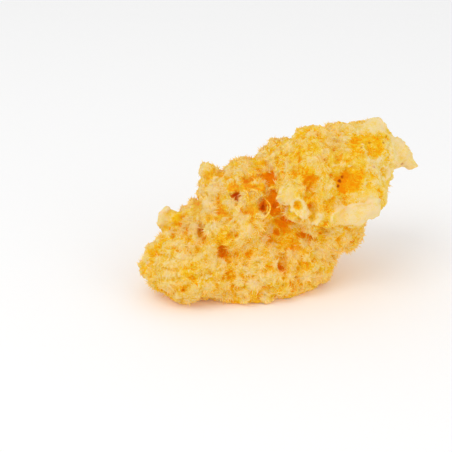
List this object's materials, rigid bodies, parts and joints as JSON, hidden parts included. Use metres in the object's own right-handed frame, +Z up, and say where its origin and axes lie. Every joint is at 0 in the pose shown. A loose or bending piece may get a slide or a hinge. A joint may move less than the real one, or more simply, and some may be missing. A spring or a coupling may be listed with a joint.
{
  "type": "sea sponge",
  "caption": "Natural sea sponge, a golden porous piece with rounded lobes, deep pores and a flat cut base, for bathing or make-up.",
  "frame": {"origin": "on the surface it stands on, under the middle of the sponge's box", "axes": "+Z up, +X along the sponge towards its raised pointed tip, +Y towards its back"},
  "size_m": [0.085, 0.05, 0.0495],
  "materials": {
    "spongin": "matt, dry fibrous spongin, pale gold on the tips and orange in the pores"
  },
  "bodies": {
    "root": {"sea_sponge": "spongin"}
  },
  "joints": []
}
